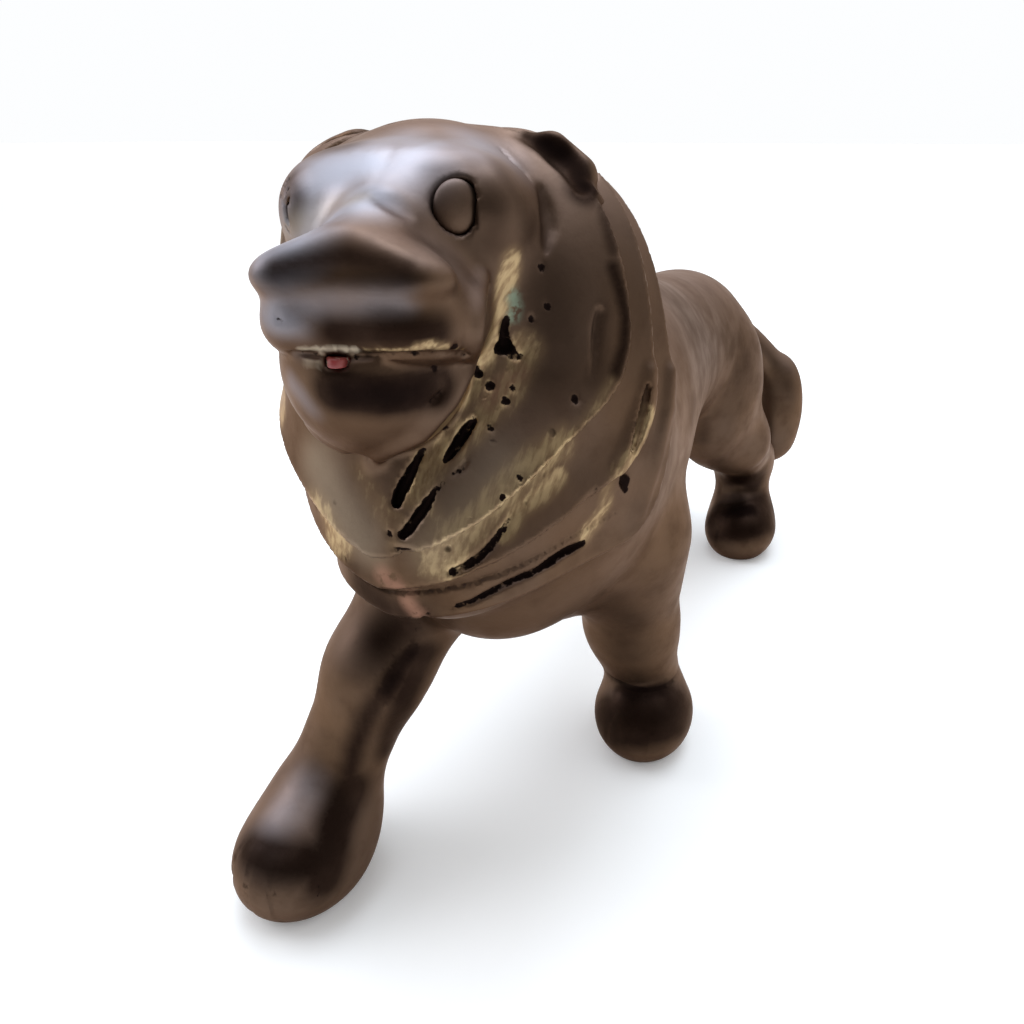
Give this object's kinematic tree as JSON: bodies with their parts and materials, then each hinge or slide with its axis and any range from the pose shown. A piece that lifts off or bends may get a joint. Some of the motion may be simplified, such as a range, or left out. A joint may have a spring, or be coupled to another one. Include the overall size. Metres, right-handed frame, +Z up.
{
  "type": "lion figurine",
  "caption": "walking lion figure in patinated bronze with a stepped mane, its head turned to its left, standing on flat paw soles",
  "frame": {"origin": "on the ground, under the middle of the figure's bounding box", "axes": "+Z is up, the lion walks towards -Y, and its left side is +X"},
  "size_m": [0.0616, 0.1812, 0.1075],
  "materials": {
    "bronze": "brown patina, satin, rubbed bright on the edges",
    "pin_brass": "plain turned brass",
    "enamel": "red enamel, glossy"
  },
  "bodies": {
    "root": {"trunk": "bronze", "mane": "bronze", "head": "bronze", "front_left_leg": "bronze", "front_right_leg": "bronze", "rear_left_leg": "bronze", "rear_right_leg": "bronze", "tail": "bronze", "right_eye": "bronze", "left_eye": "bronze", "tongue": "enamel", "tail_pin": "pin_brass", "neck_bolt": "pin_brass", "front_left_leg_pin": "pin_brass", "front_right_leg_pin": "pin_brass", "rear_left_leg_pin": "pin_brass", "rear_right_leg_pin": "pin_brass", "belly_plug": "pin_brass"}
  },
  "joints": []
}
